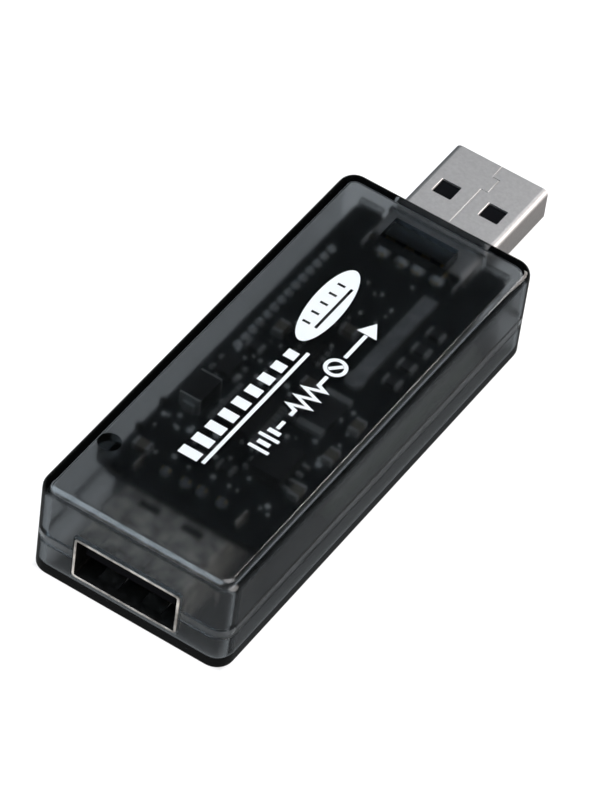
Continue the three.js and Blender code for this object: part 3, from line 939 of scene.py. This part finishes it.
# A joint's outline: shares of its radius and of its height.
SOLDER_OUTLINE = [(1.0, 0.02), (0.92, 0.18), (0.7, 0.5), (0.5, 0.8), (0.3, 0.96)]
DISPLAY_PINS = 14

# Fields of specks: how many, then the spans of x, of the distance from the socket end and of the radius,
# in millimetres.
SPECK_FIELDS = [
    (90, (-8.8, 8.8), (13.5, 33), (0.12, 0.4)),
    (30, (-6.6, 2.4), (33, 51), (0.1, 0.26)),
]
SPECK_THICKNESS = mm(0.04)


def solder_joint(name, x, y, radius, height, material=TIN):
    """A small heap of solder on the board's upper side."""
    profile = [(0, BOARD_TOP)]
    for share, rise in SOLDER_OUTLINE:
        profile.append((radius * share, BOARD_TOP + height * rise))
    profile.append((0, BOARD_TOP + height))
    joint = lathe(name, profile, x, y, sides=16)
    joint.data.shade_smooth()
    add_piece(joint, material)


def solder_joints():
    """A joint over the foot of each contact, and one over each pin of the display's strip."""
    for index in range(1, 5):
        foot_low, foot_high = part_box(f"plug_contact_{index}")
        foot_x = (foot_low.x + foot_high.x) / 2
        foot_y = foot_low.y + mm(0.8)
        solder_joint(f"plug_solder_{index}", foot_x, foot_y, mm(0.9), mm(0.85))
        pin_low, pin_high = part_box(f"socket_contact_{index}")
        pin_x = (pin_low.x + pin_high.x) / 2
        pin_y = pin_high.y - mm(0.2)
        solder_joint(f"socket_solder_{index}", pin_x, pin_y, mm(0.7), mm(0.8), DULL_TIN)
    strip_low, strip_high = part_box("lcd_pin_strip")
    strip_x = strip_low.x + mm(0.45)
    first = strip_low.y + mm(0.6)
    last = strip_high.y - mm(0.6)
    for index in range(DISPLAY_PINS):
        y = first + (last - first) * index / (DISPLAY_PINS - 1)
        solder_joint(f"display_solder_{index + 1}", strip_x, y, mm(0.55), mm(0.65))


def board_specks():
    """Small tinned pads and vias scattered over the board's upper side."""
    chance = random.Random(12)
    bm = bmesh.new()
    for count, across, lengthwise, radii in SPECK_FIELDS:
        for _ in range(count):
            x = mm(chance.uniform(*across))
            y = along(chance.uniform(*lengthwise))
            radius = mm(chance.uniform(*radii))
            bmesh.ops.create_cone(
                bm,
                cap_ends=True,
                segments=10,
                radius1=radius,
                radius2=radius * 0.8,
                depth=SPECK_THICKNESS,
                matrix=Matrix.Translation((x, y, BOARD_TOP + SPECK_THICKNESS / 2)),
            )
    specks = object_from_bmesh("board_specks", bm)
    add_piece(specks, TIN)


# -------------------------------- print on the roof

INK_THICKNESS = mm(0.02)
INK_GAP = mm(0.002)


def printed(name, outlines):
    """Flat white marks from closed outlines of (x, y) in millimetres. One inside another is a hole."""
    curve = bpy.data.curves.new(name, "CURVE")
    curve.dimensions = "2D"
    curve.fill_mode = "BOTH"
    curve.extrude = INK_THICKNESS / 2
    for outline in outlines:
        spline = curve.splines.new("POLY")
        spline.points.add(len(outline) - 1)
        for point, (x, y) in zip(spline.points, outline):
            point.co = (mm(x), mm(y), 0, 1)
        spline.use_cyclic_u = True
    drawing = new_object(name + "_curve", curve)
    graph = bpy.context.evaluated_depsgraph_get()
    mesh = bpy.data.meshes.new_from_object(drawing.evaluated_get(graph))
    bpy.data.objects.remove(drawing)
    mesh.transform(Matrix.Translation((0, 0, ROOF + INK_THICKNESS / 2 + INK_GAP)))
    add_piece(new_object(name, mesh), INK)


def oblong(x0, y0, x1, y1):
    return [(x0, y0), (x1, y0), (x1, y1), (x0, y1)]


def ellipse(x, y, half_x, half_y, steps=64, lean=0.0):
    points = []
    for step in range(steps):
        angle = 2 * math.pi * step / steps
        along_y = half_y * math.sin(angle)
        points.append((x + half_x * math.cos(angle) + lean * along_y, y + along_y))
    return points


def stroke(points, width):
    """The closed outline of an open line of the given width, with mitred bends."""
    sides = ([], [])
    for index, point in enumerate(points):
        here = Vector(point)
        before = (here - Vector(points[index - 1])).normalized() if index else None
        after = (Vector(points[index + 1]) - here).normalized() if index + 1 < len(points) else None
        along_line = ((before or after) + (after or before)).normalized()
        across = Vector((-along_line.y, along_line.x))
        reach = width / 2 / max(along_line.dot(after or before), 0.4)
        sides[0].append(here + across * reach)
        sides[1].append(here - across * reach)
    return [tuple(point) for point in sides[0] + sides[1][::-1]]


def ring_outlines(x, y, radius, width):
    return [ellipse(x, y, rim, rim, steps=40) for rim in (radius, radius - width)]


def level_bars():
    """A row of bars beside a base line, longest at the socket end, as a level meter has."""
    outlines = [oblong(-0.32, -23.4, 0.12, -3.4)]
    for bar in range(9):
        low_x = -3.15 + 0.13 * bar
        low_y = -23.6 + 2.28 * bar
        outlines.append(oblong(low_x, low_y, -0.75, low_y + 1.3))
    printed("printed_level_bars", outlines)


LINE_X = 3.3
LONG_MARK = 1.25
SHORT_MARK = 0.75
THIN_STROKE = 0.46
THICK_STROKE = THIN_STROKE * 1.3


def supply_mark():
    """The plates of a battery, thin long ones and thick short ones by turns."""
    plates = []
    for index in range(4):
        half, width = ((LONG_MARK, THIN_STROKE), (SHORT_MARK, THICK_STROKE))[index % 2]
        y = -18.1 + index
        plates.append(stroke([(LINE_X - half, y), (LINE_X + half, y)], width))
    return plates


def resistor_mark():
    """A zigzag between two straight leads."""
    zigzag = [(LINE_X, -12.1), (LINE_X, -11.2)]
    for index in range(6):
        side = 1 if index % 2 else -1
        zigzag.append((LINE_X + side * LONG_MARK * 0.85, -10.8 + index * 0.75))
    zigzag += [(LINE_X, -6.6), (LINE_X, -5.0)]
    return stroke(zigzag, THIN_STROKE)


def flow_line():
    """A row of circuit symbols from the socket to the plug: a supply, a resistor, a meter and an arrow."""
    arrow_foot = 2.7
    outlines = [
        *supply_mark(),
        stroke([(LINE_X, -14.5), (LINE_X, -13.2)], THIN_STROKE),
        resistor_mark(),
        stroke([(LINE_X - 0.55, -3.95), (LINE_X + 0.6, -2.75)], THIN_STROKE),
        stroke([(LINE_X, -1.55), (LINE_X, arrow_foot - 0.1)], THIN_STROKE),
        [(LINE_X - LONG_MARK, arrow_foot), (LINE_X + LONG_MARK, arrow_foot), (LINE_X, arrow_foot + 2.1)],
        *ring_outlines(LINE_X, -3.35, 1.35, THIN_STROKE),
    ]
    printed("printed_flow_line", outlines)


def gauge_badge():
    """A white oval, with a dial's base line and its ticks left dark in it."""
    badge = ellipse(-2.35, 3.8, 1.95, 6.2, lean=-0.06)
    base = oblong(-1.75, 0.15, -1.4, 7.4)
    ticks = [oblong(-3.3, 0.15 + 1.72 * index, -2.35, 0.5 + 1.72 * index) for index in range(5)]
    printed("printed_gauge_badge", [badge, base, *ticks])


# -------------------------------- display

SEGMENT_DEPTH = mm(0.02)
FIGURE_HEIGHT = mm(4.2)
FIGURE_WIDTH = mm(2.3)
FIGURE_STEP = mm(5.2)
FIRST_FIGURE = (mm(3), mm(5))
ROW_STEP = mm(6.2)
BAR_WIDTH = mm(0.38)
BAR_GAP = mm(0.08)


def figure_bars(x, y):
    """The seven bars of a figure that stands upright along X, as (x0, y0, x1, y1)."""
    middle = x + FIGURE_HEIGHT / 2
    bars = []
    for bar_x in (x, middle - BAR_WIDTH / 2, x + FIGURE_HEIGHT - BAR_WIDTH):
        bars.append((bar_x, y + BAR_GAP, bar_x + BAR_WIDTH, y + FIGURE_WIDTH - BAR_GAP))
    for bar_y in (y - BAR_WIDTH, y + FIGURE_WIDTH):
        bars.append((x + BAR_GAP, bar_y, middle - BAR_GAP, bar_y + BAR_WIDTH))
        bars.append((middle + BAR_GAP, bar_y, x + FIGURE_HEIGHT - BAR_GAP, bar_y + BAR_WIDTH))
    return bars


def display_segments():
    """The faint unlit bars of seven-bar figures on the display, four figures in each of two rows."""
    bm = bmesh.new()
    middle_z = GLASS_LOW.z - mm(0.01) - SEGMENT_DEPTH / 2
    for row in range(2):
        for place in range(4):
            x = GLASS_LOW.x + FIRST_FIGURE[0] + row * ROW_STEP
            y = GLASS_LOW.y + FIRST_FIGURE[1] + place * FIGURE_STEP
            for x0, y0, x1, y1 in figure_bars(x, y):
                made = bmesh.ops.create_cube(bm, size=1)["verts"]
                bmesh.ops.scale(bm, vec=(x1 - x0, y1 - y0, SEGMENT_DEPTH), verts=made)
                bmesh.ops.translate(bm, vec=((x0 + x1) / 2, (y0 + y1) / 2, middle_z), verts=made)
    segments = object_from_bmesh("display_segments", bm)
    material = new_material("unlit_segment", roughness=0.3, base=(0.22, 0.27, 0.22))
    vary_colour(material, 300, (0.20, 0.25, 0.20), (0.25, 0.30, 0.25))
    add_piece(segments, material)


# -------------------------------- finishes of the CAD pieces

def finish_node(node, material):
    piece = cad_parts[node]
    piece.data.materials.clear()
    piece.data.materials.append(material)


def longer_axis(node):
    """0 if the node is longer across the meter, and 1 if it is longer along it."""
    low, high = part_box(node)
    return 0 if high.x - low.x > high.y - low.y else 1


def finish_cad_nodes():
    """Gives the pieces that keep their CAD meshes their finishes."""
    dark = (0.02, 0.02, 0.021)
    package = chip_with_metal_ends("leaded_package", dark, end_share=0.14)
    chips = {}
    for kind, tone in (("resistor", (0.02, 0.02, 0.022)), ("capacitor", (0.2, 0.17, 0.14))):
        for axis in (0, 1):
            chips[kind, axis] = chip_with_metal_ends(f"{kind}_chip_{axis}", tone, axis=axis)
    finish_node("main_board", board_mask())
    finish_node("lcd_panel", display_cell())
    finish_node("lcd_backlight", WHITE)
    finish_node("shunt_resistor", chip_with_metal_ends("shunt", (0.03, 0.03, 0.033), 0.14, axis=1))
    finish_node("protection_diode", chip_with_metal_ends("diode", dark, 0.12, axis=1))
    for node in ("supply_bus_bar", "timing_crystal", "lcd_pin_strip"):
        finish_node(node, DULL_TIN)
    for node in ("plug_insulator", "socket_insulator", "switch_body", "switch_plunger"):
        finish_node(node, BLACK)
    for node in ("controller_chip", "current_amplifier", "memory_chip", "voltage_regulator"):
        finish_node(node, package)
    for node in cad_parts:
        kind = node.rsplit("_", 1)[0]
        if kind in ("resistor", "capacitor"):
            finish_node(node, chips[kind, longer_axis(node)])
        if kind in ("plug_contact", "socket_contact"):
            finish_node(node, GILT)


# -------------------------------- floor, lights, camera

FLOOR_LIGHT = 0.95
SHADED_FLOOR_LIGHT = 0.08
SHADE_WIDTH = mm(2.5)
FLOOR_REACH = 4
FLOOR_GAP = mm(0.02)


def floor_light(material):
    """The floor's own light: even all round the meter, and fading out under it where it stands."""
    place = add_node(material, "ShaderNodeTexCoord")
    split = add_node(material, "ShaderNodeSeparateXYZ")
    connect(material, place.outputs["Object"], split.inputs["Vector"])
    beyond = []
    for axis, middle, half in (("X", 0, HALF_WIDTH), ("Y", MIDDLE_Y, HALF_LENGTH)):
        off_middle = calculate(material, "SUBTRACT", split.outputs[axis], middle)
        distance = calculate(material, "ABSOLUTE", off_middle)
        beyond.append(calculate(material, "SUBTRACT", distance, half))
    furthest = calculate(material, "MAXIMUM", *beyond)
    return spread(material, furthest, SHADED_FLOOR_LIGHT, FLOOR_LIGHT, -SHADE_WIDTH, 0)


def add_floor():
    bm = bmesh.new()
    bmesh.ops.create_grid(bm, x_segments=1, y_segments=1, size=FLOOR_REACH)
    floor = object_from_bmesh("floor", bm)
    floor.location.z = FRONT_LOW.z - FLOOR_GAP
    material = new_material("pale_floor", roughness=0.9, base=(0.2, 0.2, 0.2))
    shader_of(material).inputs["Emission Color"].default_value = (1, 1, 1, 1)
    connect(material, floor_light(material), shader_of(material).inputs["Emission Strength"])
    shader_of(material).inputs["Specular IOR Level"].default_value = 0
    floor.data.materials.append(material)
    floor.visible_glossy = False


# Soft lights far away, each a direction, the angles in degrees at which it starts and stops to fade, its
# brightness and its tint. Between them the room is dark above the horizon and dim below it.
SOFT_LIGHTS = [
    ((-0.32, -0.42, 0.86), 9, 29, 4.2, (0.74, 0.88, 1.0)),
    ((0.15, 0.15, 0.977), 8, 24, 4.8, (0.98, 0.98, 1.0)),
    ((0.0045, 0.61, 0.797), 1, 2.6, 11, (1.0, 0.97, 0.95)),
    ((0.95, -0.2, 0.15), 10, 34, 4.5, (1.0, 0.96, 0.94)),
]
ROOM_ABOVE = 0.02
ROOM_BELOW = 0.12
ROOM_HORIZON = (-0.3, 0.1)
ROOM_TINT = (0.95, 0.98, 1.0)


def add_world():
    """A dark room with the soft lights in it, all made from the direction of view."""
    world = bpy.data.worlds.new("studio")
    bpy.context.scene.world = world
    world.use_nodes = True
    nodes = world.node_tree.nodes
    links = world.node_tree.links
    place = nodes.new("ShaderNodeTexCoord")

    def ranged(source, start, end, low, high):
        node = nodes.new("ShaderNodeMapRange")
        node.interpolation_type = "SMOOTHSTEP"
        for name, value in zip(("From Min", "From Max", "To Min", "To Max"), (start, end, low, high)):
            node.inputs[name].default_value = value
        links.new(source, node.inputs["Value"])
        return node.outputs["Result"]

    def glow(strength, tint):
        background = nodes.new("ShaderNodeBackground")
        background.inputs["Color"].default_value = (*tint, 1)
        links.new(strength, background.inputs["Strength"])
        return background.outputs["Background"]

    split = nodes.new("ShaderNodeSeparateXYZ")
    links.new(place.outputs["Generated"], split.inputs["Vector"])
    total = glow(ranged(split.outputs["Z"], *ROOM_HORIZON, ROOM_BELOW, ROOM_ABOVE), ROOM_TINT)
    for direction, inner, outer, brightness, tint in SOFT_LIGHTS:
        facing = nodes.new("ShaderNodeVectorMath")
        facing.operation = "DOT_PRODUCT"
        facing.inputs[1].default_value = Vector(direction).normalized()
        links.new(place.outputs["Generated"], facing.inputs[0])
        fade = (math.cos(math.radians(outer)), math.cos(math.radians(inner)))
        strength = ranged(facing.outputs["Value"], *fade, 0, brightness)
        both = nodes.new("ShaderNodeAddShader")
        links.new(total, both.inputs[0])
        links.new(glow(strength, tint), both.inputs[1])
        total = both.outputs["Shader"]
    links.new(total, nodes["World Output"].inputs["Surface"])


LAMP_PLACE = mm(44, 67, 29)
LAMP_AIM = mm(0, 30, 10)
LAMP_SIZE = mm(30)
LAMP_POWER = 0.013
LAMP_TINT = (1.0, 0.93, 0.9)


def add_lamp():
    """A small lamp close to the plug, which lights its top and right edge and leaves the housing dark."""
    data = bpy.data.lights.new("lamp", "AREA")
    data.size = LAMP_SIZE
    data.energy = LAMP_POWER
    data.color = LAMP_TINT
    lamp = new_object("lamp", data)
    lamp.location = LAMP_PLACE
    lamp.rotation_euler = (LAMP_AIM - LAMP_PLACE).to_track_quat("-Z", "Y").to_euler()
    lamp.visible_camera = False


CAMERA_TARGET = mm(0.08, -4.17, 6.45)
CAMERA_DISTANCE = mm(563.6)
CAMERA_AZIMUTH = math.radians(27.38)
CAMERA_ELEVATION = math.radians(46.55)
CAMERA_ROLL = math.radians(8.17)
CAMERA_LENS = 238.8


def add_camera():
    """The photo's camera: turned and raised round its target, and rolled a little about its own axis."""
    look = Vector((
        -math.sin(CAMERA_AZIMUTH) * math.cos(CAMERA_ELEVATION),
        math.cos(CAMERA_AZIMUTH) * math.cos(CAMERA_ELEVATION),
        -math.sin(CAMERA_ELEVATION),
    ))
    level_right = Vector((math.cos(CAMERA_AZIMUTH), math.sin(CAMERA_AZIMUTH), 0))
    level_up = level_right.cross(look)
    right = level_right * math.cos(CAMERA_ROLL) + level_up * math.sin(CAMERA_ROLL)
    up = right.cross(look)
    data = bpy.data.cameras.new("camera")
    data.lens = CAMERA_LENS
    data.sensor_width = 36
    data.clip_start = 0.05
    data.clip_end = 50
    camera = new_object("camera", data)
    turn = Matrix((right, up, -look)).transposed()
    camera.matrix_world = Matrix.Translation(CAMERA_TARGET - look * CAMERA_DISTANCE) @ turn.to_4x4()
    bpy.context.scene.camera = camera


def set_light_paths():
    """Plain colours, and many bends, because light has to cross both walls of the shells and come back."""
    scene = bpy.context.scene
    scene.view_settings.view_transform = "Standard"
    scene.cycles.max_bounces = 24
    scene.cycles.transmission_bounces = 24
    scene.cycles.glossy_bounces = 8
    scene.cycles.diffuse_bounces = 4
    scene.cycles.transparent_max_bounces = 16
    scene.cycles.sample_clamp_indirect = 4
    scene.cycles.use_denoising = True


# -------------------------------- the scene

add_camera()
add_world()
add_lamp()
add_floor()
set_light_paths()

finish_cad_nodes()
back_shell()
front_shell()
display_window()
plug_shell()
socket_shell()
memory_button()
solder_joints()
board_specks()
level_bars()
flow_line()
gauge_badge()
display_segments()
